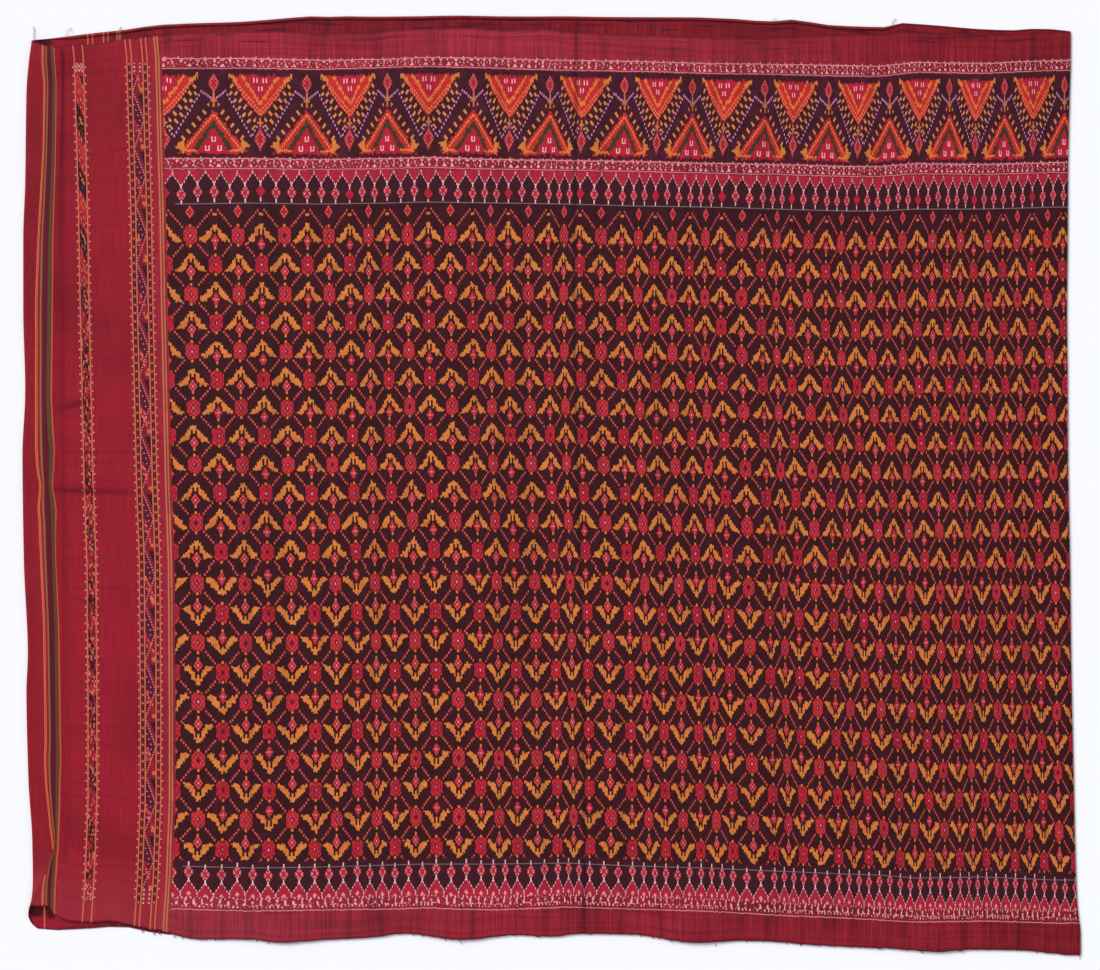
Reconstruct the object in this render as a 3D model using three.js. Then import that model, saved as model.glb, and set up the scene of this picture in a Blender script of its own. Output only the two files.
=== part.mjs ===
// A tube skirt of weft-ikat silk, laid flat in two layers. One length of cloth is sewn end to end
// into a loop. The loop lies pressed between a left and a right fold, with both rims open and the
// seam on the front layer, close to the left fold. Millimetres, +X to the right fold, +Y to the
// waist rim, +Z up from the surface that it lies on. The origin is the middle of the underside's box.
import * as THREE from "three";
import { ParametricGeometry } from "three/addons/geometries/ParametricGeometry.js";

// The cloth and how closely its layers lie.
const CLOTH_THICKNESS = 1.0;
const LAYER_GAP = 0.8;
const FOLD_DEPTH = 0.9;

// The tables below are read from a datum corner up and left of the cloth: across to the right, down.
const CENTRE_ACROSS = 551.65;
const CENTRE_DOWN = 485.37;
const LEFT_NOMINAL = 31;
const RIGHT_NOMINAL = 1071;

// Steps of the surface: fine beside the left fold, where the seam and the open corners are.
const SEAM_SIDE_WIDTH = 90;
const SEAM_SIDE_STEPS = 15;
const FRONT_WIDE_STEPS = 44;
const BACK_SEAM_SIDE_STEPS = 6;
const BACK_WIDE_STEPS = 32;
const FOLD_STEPS = 4;
const ROWS = 20;

// The free rims. The back layer stands a little above the front one at the waist, and shows below
// the front hem only at the left corner. One row per bend of a rim.
const RIMS = [
  { across: 31, backTop: 40.0, frontTop: 41.5, frontHem: 905.0, backHem: 929.0 },
  { across: 37, backTop: 39.0, frontTop: 43.5, frontHem: 906.0, backHem: 931.0 },
  { across: 44, backTop: 39.0, frontTop: 46.0, frontHem: 905.0, backHem: 931.0 },
  { across: 50, backTop: 38.0, frontTop: 47.5, frontHem: 907.0, backHem: 930.5 },
  { across: 57, backTop: 37.0, frontTop: 47.0, frontHem: 915.0, backHem: 930.0 },
  { across: 70, backTop: 35.5, frontTop: 45.5, frontHem: 921.0, backHem: 929.5 },
  { across: 90, backTop: 33.0, frontTop: 44.5, frontHem: 922.5, backHem: 928.0 },
  { across: 110, backTop: 31.0, frontTop: 41.5, frontHem: 921.5, backHem: 927.0 },
  { across: 130, backTop: 28.5, frontTop: 38.5, frontHem: 926.0, backHem: 928.0 },
  { across: 152, backTop: 25.0, frontTop: 36.5, frontHem: 930.5, backHem: 935.0 },
  { across: 190, backTop: 23.0, frontTop: 33.0, frontHem: 939.5, backHem: 934.0 },
  { across: 240, backTop: 21.5, frontTop: 31.5, frontHem: 939.5, backHem: 926.0 },
  { across: 275, backTop: 18.5, frontTop: 31.2, frontHem: 942.8, backHem: 923.0 },
  { across: 310, backTop: 16.3, frontTop: 33.0, frontHem: 940.5, backHem: 922.0 },
  { across: 365, backTop: 16.0, frontTop: 33.0, frontHem: 937.5, backHem: 922.0 },
  { across: 395, backTop: 16.0, frontTop: 30.0, frontHem: 933.8, backHem: 921.5 },
  { across: 455, backTop: 15.2, frontTop: 28.0, frontHem: 940.0, backHem: 921.0 },
  { across: 510, backTop: 16.0, frontTop: 30.4, frontHem: 935.2, backHem: 920.0 },
  { across: 542, backTop: 16.0, frontTop: 29.2, frontHem: 937.0, backHem: 920.0 },
  { across: 573, backTop: 16.0, frontTop: 32.6, frontHem: 934.0, backHem: 920.0 },
  { across: 625, backTop: 16.8, frontTop: 34.6, frontHem: 934.8, backHem: 921.0 },
  { across: 688, backTop: 17.0, frontTop: 36.7, frontHem: 942.8, backHem: 923.0 },
  { across: 735, backTop: 18.8, frontTop: 38.2, frontHem: 941.0, backHem: 924.0 },
  { across: 768, backTop: 21.0, frontTop: 38.0, frontHem: 942.0, backHem: 925.0 },
  { across: 795, backTop: 19.2, frontTop: 36.5, frontHem: 944.5, backHem: 927.0 },
  { across: 828, backTop: 24.6, frontTop: 35.0, frontHem: 946.5, backHem: 929.0 },
  { across: 888, backTop: 26.7, frontTop: 34.0, frontHem: 949.0, backHem: 933.0 },
  { across: 898, backTop: 22.6, frontTop: 32.0, frontHem: 949.8, backHem: 934.0 },
  { across: 930, backTop: 24.5, frontTop: 33.0, frontHem: 952.0, backHem: 936.0 },
  { across: 960, backTop: 27.0, frontTop: 33.4, frontHem: 949.8, backHem: 938.0 },
  { across: 1012, backTop: 30.0, frontTop: 34.0, frontHem: 950.5, backHem: 941.0 },
  { across: 1044, backTop: 28.2, frontTop: 32.5, frontHem: 953.5, backHem: 946.0 },
  { across: 1071, backTop: 30.5, frontTop: 31.5, frontHem: 955.5, backHem: 953.0 },
];

// The left and right folds, one row per bend. Below 905 the left side is the back layer's corner.
const SIDES = [
  { down: 38, left: 31.5, right: 1071.0 },
  { down: 60, left: 29.0, right: 1071.0 },
  { down: 92, left: 26.2, right: 1070.0 },
  { down: 180, left: 25.0, right: 1068.3 },
  { down: 240, left: 23.0, right: 1068.0 },
  { down: 310, left: 23.0, right: 1067.2 },
  { down: 390, left: 25.0, right: 1068.0 },
  { down: 455, left: 22.2, right: 1068.3 },
  { down: 560, left: 23.6, right: 1070.2 },
  { down: 655, left: 27.6, right: 1071.4 },
  { down: 690, left: 26.2, right: 1072.0 },
  { down: 780, left: 28.2, right: 1074.0 },
  { down: 840, left: 32.0, right: 1075.2 },
  { down: 884, left: 32.6, right: 1076.6 },
  { down: 901, left: 31.4, right: 1077.4 },
  { down: 909, left: 28.6, right: 1078.0 },
  { down: 916, left: 28.2, right: 1078.8 },
  { down: 923, left: 30.4, right: 1079.8 },
  { down: 931, left: 37.0, right: 1080.8 },
  { down: 957, left: 37.5, right: 1081.0 },
];

// Soft forms of the front layer: hills and troughs with round sides. Each row has a middle, a
// half length and half width, the turn of its length from the across direction, and its height.
const FORMS = [
  { name: "waist mouth", across: 45, down: 44, length: 44, width: 52, turn: 0, height: 2.6 },
  { name: "hem mouth", across: 44, down: 908, length: 40, width: 44, turn: 0, height: 2.8 },
  { name: "fold over the hem mouth", across: 42, down: 880, length: 34, width: 9, turn: 62, height: 1.0 },
  { name: "seam strip", across: 48, down: 470, length: 520, width: 13, turn: 90, height: 1.4 },
  { name: "upper drag", across: 80, down: 445, length: 46, width: 9, turn: -14, height: 0.9 },
  { name: "pinch beside the seam", across: 82, down: 491, length: 44, width: 8, turn: 3, height: 1.3 },
  { name: "trough under the pinch", across: 84, down: 503, length: 40, width: 7, turn: 6, height: -0.5 },
  { name: "lower drag", across: 88, down: 620, length: 60, width: 12, turn: -38, height: 0.8 },
  { name: "long roll below the waist", across: 640, down: 190, length: 420, width: 70, turn: 2, height: 0.7 },
  { name: "middle roll", across: 620, down: 480, length: 380, width: 90, turn: -4, height: 0.8 },
  { name: "lower roll", across: 520, down: 760, length: 430, width: 80, turn: 3, height: 0.7 },
  { name: "crease under the waist", across: 576, down: 150, length: 150, width: 9, turn: 90, height: -0.5 },
  { name: "right roll", across: 930, down: 620, length: 260, width: 60, turn: 78, height: 0.6 },
  { name: "hem ripple left", across: 275, down: 942, length: 60, width: 46, turn: 0, height: 1.3 },
  { name: "hem ripple middle", across: 455, down: 940, length: 48, width: 40, turn: 0, height: 1.2 },
  { name: "hem ripple right of middle", across: 690, down: 942, length: 56, width: 44, turn: 0, height: 1.4 },
  { name: "hem ripple right", across: 930, down: 952, length: 62, width: 46, turn: 0, height: 1.1 },
];

// Height of a column of a table at a place, on a curve that never overshoots its rows.
function readTable(table, key, column, at) {
  const last = table.length - 1;
  if (at <= table[0][key]) return table[0][column];
  if (at >= table[last][key]) return table[last][column];
  let i = 0;
  while (table[i + 1][key] < at) i += 1;
  const slope = (k) => (table[k + 1][column] - table[k][column]) / (table[k + 1][key] - table[k][key]);
  const tangent = (k) => {
    if (k === 0 || k === last) return 0;
    const before = slope(k - 1);
    const after = slope(k);
    return before * after <= 0 ? 0 : (2 * before * after) / (before + after);
  };
  const span = table[i + 1][key] - table[i][key];
  const t = (at - table[i][key]) / span;
  const rise = t * t * (3 - 2 * t);
  return (
    table[i][column] * (1 - rise) +
    table[i + 1][column] * rise +
    span * tangent(i) * t * (1 - t) * (1 - t) -
    span * tangent(i + 1) * t * t * (1 - t)
  );
}

// How far the front layer is lifted off the back one beyond their usual gap.
function frontLift(across, down) {
  let lift = 0;
  for (const form of FORMS) {
    const turn = THREE.MathUtils.degToRad(form.turn);
    const alongX = across - form.across;
    const alongY = form.down - down;
    const length = (alongX * Math.cos(turn) + alongY * Math.sin(turn)) / form.length;
    const width = (alongY * Math.cos(turn) - alongX * Math.sin(turn)) / form.width;
    const distance = length * length + width * width;
    if (distance < 1) lift += form.height * (1 - distance) * (1 - distance);
  }
  return Math.max(lift, -0.5);
}

// Steps from the left fold to the right one, as shares of the width.
function crossSteps(nearSteps, wideSteps) {
  const near = SEAM_SIDE_WIDTH / (RIGHT_NOMINAL - LEFT_NOMINAL);
  const steps = [];
  for (let i = 0; i < nearSteps; i += 1) steps.push((near * i) / nearSteps);
  for (let i = 0; i <= wideSteps; i += 1) steps.push(near + ((1 - near) * i) / wideSteps);
  return steps;
}

// The stations once round the loop: front layer, right fold, back layer, left fold. Each has its
// share of the width, and its turn round the fold from 1 on the front to 0 on the back.
function loopStations() {
  const stations = [];
  for (const share of crossSteps(SEAM_SIDE_STEPS, FRONT_WIDE_STEPS)) stations.push({ share, turn: 1 });
  for (let i = 1; i < FOLD_STEPS; i += 1) stations.push({ share: 1, turn: 1 - i / FOLD_STEPS });
  for (const share of crossSteps(BACK_SEAM_SIDE_STEPS, BACK_WIDE_STEPS).reverse()) {
    stations.push({ share, turn: 0 });
  }
  for (let i = 1; i < FOLD_STEPS; i += 1) stations.push({ share: 0, turn: i / FOLD_STEPS });
  return stations;
}

const STATIONS = loopStations();

// Rows from the hem to the waist, closer together at both rims.
function rowShare(row) {
  const even = row / ROWS;
  const graded = 0.5 - 0.5 * Math.cos(Math.PI * even);
  return 0.45 * even + 0.55 * graded;
}

// Middle of the cloth's thickness at a station and a row.
function middlePoint(station, row) {
  const nominal = LEFT_NOMINAL + station.share * (RIGHT_NOMINAL - LEFT_NOMINAL);
  const rim = (front, back) => {
    const onFront = readTable(RIMS, "across", front, nominal);
    const onBack = readTable(RIMS, "across", back, nominal);
    return onBack + (onFront - onBack) * station.turn;
  };
  const hem = rim("frontHem", "backHem");
  const waist = rim("frontTop", "backTop");
  const down = hem + (waist - hem) * rowShare(row);
  const inset = FOLD_DEPTH + CLOTH_THICKNESS / 2;
  const left = readTable(SIDES, "down", "left", down) + inset;
  const right = readTable(SIDES, "down", "right", down) - inset;
  const angle = (station.turn - 0.5) * Math.PI;
  let across = left + (right - left) * station.share;
  const low = CLOTH_THICKNESS / 2;
  const high = low + CLOTH_THICKNESS + LAYER_GAP + frontLift(across, down);
  let height = station.turn === 1 ? high : low;
  if (station.turn > 0 && station.turn < 1) {
    across += (station.share === 0 ? -1 : 1) * FOLD_DEPTH * Math.cos(angle);
    height = (low + high) / 2 + ((high - low) / 2) * Math.sin(angle);
  }
  return new THREE.Vector3(across - CENTRE_ACROSS, CENTRE_DOWN - down, height);
}

// One side of the cloth: half the thickness out from its middle, square to the loop.
function sidePoint(index, row, side) {
  const count = STATIONS.length;
  const at = (k) => middlePoint(STATIONS[(k + count) % count], row);
  const middle = at(index);
  const before = at(index - 1);
  const after = at(index + 1);
  const toBefore = new THREE.Vector2(middle.x - before.x, middle.z - before.z).normalize();
  const toAfter = new THREE.Vector2(after.x - middle.x, after.z - middle.z).normalize();
  const along = toBefore.add(toAfter).normalize();
  const half = (side * CLOTH_THICKNESS) / 2;
  middle.x -= along.y * half;
  middle.z += along.x * half;
  if (STATIONS[index].turn === 0) middle.z = CLOTH_THICKNESS / 2 - half;
  return middle;
}

// Round the cloth's own section: up the outer side, over the waist rim, down the inner side.
const RING_STEPS = 2 * (ROWS + 1);
const LOOP_STEPS = STATIONS.length;
const cloth = new ParametricGeometry(
  (round, ring, target) => {
    const index = Math.round(round * LOOP_STEPS) % LOOP_STEPS;
    const step = Math.round(ring * RING_STEPS) % RING_STEPS;
    const outer = step <= ROWS;
    target.copy(sidePoint(index, outer ? step : RING_STEPS - 1 - step, outer ? 1 : -1));
  },
  LOOP_STEPS,
  RING_STEPS,
);

const silk = new THREE.MeshStandardMaterial({ color: 0x8f2b38, roughness: 0.62, metalness: 0 });

const skirt = new THREE.Mesh(cloth, silk);
skirt.name = "skirt_cloth";

const root = new THREE.Group();
root.name = "tube_skirt";
root.add(skirt);

export default root;
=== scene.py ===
import math
from functools import reduce

import bmesh
import bpy
import numpy as np
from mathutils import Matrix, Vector, noise


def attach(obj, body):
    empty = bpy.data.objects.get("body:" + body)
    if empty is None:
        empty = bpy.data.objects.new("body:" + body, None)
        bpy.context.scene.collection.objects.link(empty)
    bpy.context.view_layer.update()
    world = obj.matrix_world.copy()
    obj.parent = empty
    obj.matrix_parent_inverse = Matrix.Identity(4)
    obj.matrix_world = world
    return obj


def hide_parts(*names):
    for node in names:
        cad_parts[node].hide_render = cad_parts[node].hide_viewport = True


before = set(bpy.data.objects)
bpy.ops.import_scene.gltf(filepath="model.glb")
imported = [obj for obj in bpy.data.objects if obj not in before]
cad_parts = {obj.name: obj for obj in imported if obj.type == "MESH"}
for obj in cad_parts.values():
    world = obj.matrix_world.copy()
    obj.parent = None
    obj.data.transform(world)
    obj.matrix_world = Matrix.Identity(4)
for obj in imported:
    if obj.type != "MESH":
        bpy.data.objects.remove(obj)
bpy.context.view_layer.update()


# The silk loop: one length of weft-ikat silk, sewn end to end and pressed flat in two layers.
# Places are read in millimetres from a corner up and left of the cloth: across to the right, down.
THREAD_SHEET = 0.35
CENTRE_ACROSS = 551.65
CENTRE_DOWN = 485.37
LEFT_NOMINAL = 31
RIGHT_NOMINAL = 1071
# Where the back layer starts, in millimetres of cloth round the loop.
HALF_ROUND = 1073
FRONT_TOP = 2.8
FOLD_RADIUS = 1.4

# across, back layer's top, front layer's top, front layer's hem, back layer's hem
RIMS = [
    (31, 40, 41.5, 905, 929), (37, 39, 43.5, 906, 931), (44, 39, 46, 905, 931),
    (50, 38, 47.5, 907, 930.5), (57, 37, 47, 915, 930), (70, 35.5, 45.5, 921, 929.5),
    (90, 33, 44.5, 922.5, 928), (110, 31, 41.5, 921.5, 927), (130, 28.5, 38.5, 926, 928),
    (152, 25, 36.5, 930.5, 935), (190, 23, 33, 939.5, 934), (240, 21.5, 31.5, 939.5, 926),
    (275, 18.5, 31.2, 942.8, 923), (310, 16.3, 33, 940.5, 922), (365, 16, 33, 937.5, 922),
    (395, 16, 30, 933.8, 921.5), (455, 15.2, 28, 940, 921), (510, 16, 30.4, 935.2, 920),
    (542, 16, 29.2, 937, 920), (573, 16, 32.6, 934, 920), (625, 16.8, 34.6, 934.8, 921),
    (688, 17, 36.7, 942.8, 923), (735, 18.8, 38.2, 941, 924), (768, 21, 38, 942, 925),
    (795, 19.2, 36.5, 944.5, 927), (828, 24.6, 35, 946.5, 929), (888, 26.7, 34, 949, 933),
    (898, 22.6, 32, 949.8, 934), (930, 24.5, 33, 952, 936), (960, 27, 33.4, 949.8, 938),
    (1012, 30, 34, 950.5, 941), (1044, 28.2, 32.5, 953.5, 946), (1071, 30.5, 31.5, 955.5, 953),
]

# down, left fold, right fold
SIDES = [
    (38, 31.5, 1071), (60, 29, 1071), (92, 26.2, 1070), (180, 25, 1068.3),
    (240, 23, 1068), (310, 23, 1067.2), (390, 25, 1068), (455, 22.2, 1068.3),
    (560, 23.6, 1070.2), (655, 27.6, 1071.4), (690, 26.2, 1072), (780, 28.2, 1074),
    (840, 32, 1075.2), (884, 32.6, 1076.6), (901, 31.4, 1077.4), (909, 28.6, 1078),
    (916, 28.2, 1078.8), (923, 30.4, 1079.8), (931, 37, 1080.8), (957, 37.5, 1081),
]

# Soft rolls and creases of the front layer: middle, half length and half width, turn, height.
FORMS = [
    ("waist mouth", 45, 44, 44, 52, 0, 2.6),
    ("hem mouth", 44, 908, 40, 44, 0, 2.8),
    ("hem mouth fold", 42, 880, 34, 9, 62, 1),
    ("seam strip", 48, 470, 520, 13, 90, 1.4),
    ("upper drag", 80, 445, 46, 9, -14, 0.9),
    ("pinch beside the seam", 88, 484, 52, 8, 2, 2),
    ("trough under it", 86, 495, 46, 7, 3, -1),
    ("lower drag", 88, 620, 60, 12, -38, 1.2),
    ("long upper roll", 640, 190, 420, 70, 2, 0.7),
    ("middle roll", 620, 480, 380, 90, -4, 0.8),
    ("lower roll", 520, 760, 430, 80, 3, 0.7),
    ("waist crease", 576, 150, 150, 9, 90, -0.5),
    ("right roll", 930, 620, 260, 60, 78, 0.6),
    ("hem ripple", 275, 942, 60, 46, 0, 1.3),
    ("second hem ripple", 455, 940, 48, 40, 0, 1.2),
    ("third hem ripple", 690, 942, 56, 44, 0, 1.4),
    ("fourth hem ripple", 930, 952, 62, 46, 0, 1.1),
    ("pressed line", 577, 90, 78, 3.5, 90, -0.5),
    ("ridge beside it", 583, 90, 78, 4, 90, 0.35),
    ("small upper crease", 96, 452, 34, 3, 0, 0.35),
    ("small crease", 100, 419, 30, 3, 0, 0.3),
    ("drag above the pinch", 84, 396, 36, 8, 33, 1.5),
    ("hollow under it", 76, 409, 28, 8, 20, -0.9),
    ("lower mouth drag", 68, 836, 30, 6, -62, 1.1),
    ("left fold crease", 31, 408, 12, 3, -20, -0.7),
    ("turned corner", 38, 888, 17, 3.5, 62, 0.9),
    ("corner drag", 62, 872, 34, 7, 28, 0.6),
    ("seam knot", 59, 497, 6, 4, 0, 0.6),
    ("left dimple", 118, 560, 40, 18, -60, -0.3),
    ("left roll", 128, 300, 150, 16, 86, 0.45),
    ("faint fold", 1010, 300, 200, 10, 88, -0.3),
    ("faint middle fold", 800, 250, 190, 12, 84, -0.3),
]


def read_table(table, column, at):
    """The column's value at a place in the first column, on a curve that never overshoots."""
    last = len(table) - 1
    at = min(max(at, table[0][0]), table[last][0])
    row = next(k for k in range(last) if table[k + 1][0] >= at)

    def slope(k):
        if k in (-1, last):
            return 0
        return (table[k + 1][column] - table[k][column]) / (table[k + 1][0] - table[k][0])

    def tangent(k):
        before, after = slope(k - 1), slope(k)
        return 0 if before * after <= 0 else 2 * before * after / (before + after)

    span = table[row + 1][0] - table[row][0]
    t = (at - table[row][0]) / span
    rise = t * t * (3 - 2 * t)
    return (
        table[row][column] * (1 - rise)
        + table[row + 1][column] * rise
        + span * tangent(row) * t * (1 - t) ** 2
        - span * tangent(row + 1) * t * t * (1 - t)
    )


def front_lift(across, down):
    """How far the front layer stands off beyond the usual gap, or sinks by 1.2 mm at most."""
    lift = 0
    for _, middle_across, middle_down, length, width, turn, height in FORMS:
        reach = max(length, width)
        if abs(across - middle_across) > reach or abs(down - middle_down) > reach:
            continue
        cosine, sine = math.cos(math.radians(turn)), math.sin(math.radians(turn))
        right, up = across - middle_across, middle_down - down
        distance = ((right * cosine + up * sine) / length) ** 2
        distance += ((up * cosine - right * sine) / width) ** 2
        if distance < 1:
            lift += height * (1 - distance) ** 2
    return max(lift, -1.2)


# The seam strip's stripes as they lie on the front layer: down, orange pair, two olive, orange edge.
SEAM = [
    (48, 43.4, 46.8, 52.6, 54.6), (63, 43.1, 46.8, 53.3, 55.6),
    (83, 44.9, 48, 54.5, 56.8), (150, 43.9, 46.7, 53.7, 56.1),
    (240, 38.6, 42.1, 51.2, 53.3), (300, 36.3, 41, 50.4, 53),
    (400, 36.3, 40.9, 49.1, 52.1), (430, 36.3, 41.2, 50.6, 53.7),
    (451, 36.3, 41.6, 52.6, 55.2), (471, 37.8, 42.4, 52.1, 53.7),
    (485, 40.9, 44, 51, 52.6), (497, 39.9, 43.5, 52.6, 54.7),
    (507, 38.4, 43.5, 53.7, 56.7), (522, 39.9, 44.5, 54.2, 56.2),
    (559, 41.4, 45.7, 54.7, 55.7), (623, 44.5, 48.4, 57, 59),
    (740, 46, 50.4, 58, 61), (760, 45.3, 49.3, 59, 61.3),
    (783, 46.4, 50, 57.9, 60.2), (806, 48.7, 51.6, 57.3, 60),
    (835, 51.8, 55, 56.5, 59), (850, 53.9, 55, 55.5, 58.5),
    (863, 47.5, 49.9, 53.9, 57.3), (886, 43.8, 47, 53.3, 55.8),
    (903, 43, 47, 52.7, 55.4),
]
SEAM_PLACES = (-125, -119.5, -111.5, -109)

# The double line at the field's left edge: down, across.
DOUBLE_LINE = [
    (40, 155.5), (58, 157.3), (215, 161.6), (300, 163), (476, 167),
    (564, 170), (710, 171), (800, 171), (880, 168), (925, 165),
]
BACK_DOUBLE_LINE = 118
# How far left of the double line the seam strip's own places start.
PLAIN_START = 93

# Where the pattern's own rows lie: across, then the top chain's top and foot, the second chain,
# the grey line, the field's foot and the lower thin line. The last tuple names them on the chart.
ROW_LINES = [
    (180, 58, 68, 158, 203, 866, 910), (250, 58, 68, 158, 202, 868, 912),
    (320, 60, 69, 159, 203, 867, 911), (390, 59, 67, 158, 202, 865, 910),
    (425, 57, 66, 157, 201, 864, 909), (495, 58, 68, 159, 202, 864, 911),
    (565, 60, 70, 160, 203, 863, 908), (635, 61, 71, 161, 205, 866, 910),
    (705, 63, 73, 163, 206, 868, 912), (775, 64, 74, 164, 208, 871, 916),
    (845, 65, 76, 166, 210, 874, 919), (880, 66, 76, 166, 210, 875, 921),
    (915, 62, 72, 163, 208, 878, 923), (985, 63, 73, 164, 208, 877, 922),
    (1055, 60, 70, 162, 206, 880, 924),
]
CHART_ROWS = (58, 68, 158, 202, 868, 912)

# Middles of the triangles at the top of the field.
AXES = (
    164, 213.7, 260.2, 307, 349.8, 387.3, 428.6, 473.7, 509.5, 550.4, 581.5, 624.9, 657.6,
    692.6, 723.6, 765.3, 793.3, 829, 858.4, 889.8, 919.5, 949.6, 975.6, 1004.6, 1033.3, 1064.5,
    1095,
)
# How far the wefts lean to the right below them: down, then at these places across.
LEAN_PLACES = (220, 430, 640, 850, 1060)
LEAN = [
    (160, 0, -0.5, -1.5, -1, -0.5), (270, 2, -0.5, -3.5, -3, -2),
    (340, 3, 0.5, -3, -3, 0), (450, 5.5, 2, -0.5, 1, 4),
    (540, 7.5, 5, 2, 4, 6), (630, 9, 7, 5, 5.5, 7.5),
    (720, 9.5, 7.5, 6, 7, 8), (810, 9.5, 8, 7.5, 9.5, 10),
    (870, 8, 7.5, 8, 10.5, 11),
]


def row_at(table, place):
    """The table's other columns at a place in its first column, straight between its rows."""
    places, *others = zip(*table)
    return [float(np.interp(place, places, other)) for other in others]


def soft_step(value, low, high):
    t = min(max((value - low) / (high - low), 0), 1)
    return t * t * (3 - 2 * t)


def chart_axis(across, down):
    """Which triangle axis a place of the front layer is at, counted from the left."""
    lean = np.interp(across, LEAN_PLACES, row_at(LEAN, down))
    upright = across - lean * soft_step(down, 110, 160)
    if upright < AXES[0]:
        return (upright - AXES[0]) / (AXES[1] - AXES[0])
    return float(np.interp(upright, AXES, range(len(AXES))))


def chart_depth(across, down):
    """The pattern's own row at a place of the front layer, in millimetres down the chart."""
    lines = row_at(ROW_LINES, across)
    if down < lines[0]:
        return down - lines[0] + CHART_ROWS[0]
    if down > lines[-1]:
        return down - lines[-1] + CHART_ROWS[-1]
    return float(np.interp(down, lines, CHART_ROWS))


def ends_place(across, down):
    """Distance right of the double line, on the end border's own stripes."""
    stripes = row_at(SEAM, down)
    pair = row_at(DOUBLE_LINE, down)[0]
    if across < stripes[0]:
        return SEAM_PLACES[0] - (stripes[0] - across)
    if across > pair - PLAIN_START:
        return across - pair
    return float(np.interp(across, [*stripes, pair - PLAIN_START], [*SEAM_PLACES, -PLAIN_START]))


# Columns once round the loop and rows from the hem's roll to the waist's roll.
FRONT_SEAM_STEPS = 24
FRONT_WIDE_STEPS = 244
BACK_STEPS = 56
FOLD_STEPS = 6
BODY_ROWS = 122
ROLL_ROWS = 6
ROLL_TURN = math.radians(215)
ROLL_CLOTH = 4.2
BODY_CLOTH = 908
SEAM_SIDE = 40 / (RIGHT_NOMINAL - LEFT_NOMINAL)

columns = [(SEAM_SIDE * i / FRONT_SEAM_STEPS, 1) for i in range(FRONT_SEAM_STEPS)]
for i in range(FRONT_WIDE_STEPS + 1):
    columns.append((SEAM_SIDE + (1 - SEAM_SIDE) * i / FRONT_WIDE_STEPS, 1))
for i in range(1, FOLD_STEPS):
    columns.append((1, 1 - i / FOLD_STEPS))
for i in range(BACK_STEPS + 1):
    columns.append((1 - i / BACK_STEPS, 0))
for i in range(1, FOLD_STEPS + 1):
    columns.append((0, i / FOLD_STEPS))

rows = [("hem", 1 - i / ROLL_ROWS) for i in range(ROLL_ROWS)]
for i in range(BODY_ROWS + 1):
    graded = 0.5 - 0.5 * math.cos(math.pi * i / BODY_ROWS)
    rows.append(("body", 0.55 * i / BODY_ROWS + 0.45 * graded))
rows.extend(("waist", (i + 1) / ROLL_ROWS) for i in range(ROLL_ROWS))


def roll_size(rim, across, turn):
    """Half width and half height of the small roll that a rim curls into."""
    if rim == "waist" and turn == 0:
        held = soft_step(across, 52, 72) * (1 - soft_step(across, 884, 892))
        return 0.55 + 1.35 * held, 0.45 + 0.45 * held
    if rim == "hem" and turn == 0:
        held = soft_step(across, 50, 66) * (1 - soft_step(across, 160, 180))
        return 0.55 + 0.7 * held, 0.45 + 0.25 * held
    return 0.6, 0.42


def ragged(rim, across, turn):
    """The small unevenness of a cut or worn rim, with a nib here and there."""
    seat = (5 if rim == "hem" else 0) + 11 * turn
    wave = noise.noise(Vector((across / 9, seat, 0))) * 0.5
    wave += noise.noise(Vector((across / 3.1, seat, 4))) * 0.35
    nib = noise.noise(Vector((across / 4.3, seat, 9)))
    if rim == "hem" and turn == 1:
        wave += 1.6 * max(nib - 0.38, 0) * 4
    return wave


def loop_point(column, row):
    """A point of the cloth's outer side, with its place across and down, in millimetres."""
    share, turn = column
    kind, amount = row
    nominal = LEFT_NOMINAL + share * (RIGHT_NOMINAL - LEFT_NOMINAL)
    back_waist, front_waist, front_hem, back_hem = (read_table(RIMS, k, nominal) for k in (1, 2, 3, 4))
    side = 1 if turn > 0.5 else 0
    waist = back_waist + (front_waist - back_waist) * turn - ragged("waist", nominal, side)
    hem = back_hem + (front_hem - back_hem) * turn + ragged("hem", nominal, side)
    waist_roll = roll_size("waist", nominal, turn)
    hem_roll = roll_size("hem", nominal, turn)
    top, foot = waist + waist_roll[0], hem - hem_roll[0]
    body = {"hem": 0, "body": amount, "waist": 1}[kind]
    down = foot + (top - foot) * body
    left = read_table(SIDES, 1, down) + FOLD_RADIUS
    right = read_table(SIDES, 2, down) - FOLD_RADIUS
    across = left + (right - left) * share
    lift = front_lift(across, down)
    lift += 0.16 * noise.noise(Vector((across / 38, down / 30, 2)))
    lift += 0.08 * noise.noise(Vector((across / 13, down / 17, 7)))
    lift += 0.8 * soft_step(across, 65, 61.5) * soft_step(down, 46, 60) * soft_step(down, 880, 850)
    crown = (FRONT_TOP + lift) / 2
    angle = (turn - 0.5) * math.pi
    outward_across = math.cos(angle) * (-1 if share == 0 else 1)
    outward = Vector((outward_across, 0, math.sin(angle)))
    across += FOLD_RADIUS * outward_across
    place = Vector((across, 0, crown + crown * math.sin(angle)))
    if kind != "body":
        half_width, half_height = waist_roll if kind == "waist" else hem_roll
        bend = ROLL_TURN * amount
        place -= outward * half_height * (1 - math.cos(bend))
        reach = half_width * math.sin(bend)
        down += -reach if kind == "waist" else reach
    return Vector((place.x - CENTRE_ACROSS, CENTRE_DOWN - down, place.z)) / 1000, across, down


scene = bpy.context.scene


def add_object(name, data):
    """A new object in the scene that shows the data."""
    made = bpy.data.objects.new(name, data)
    scene.collection.objects.link(made)
    return made


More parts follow.
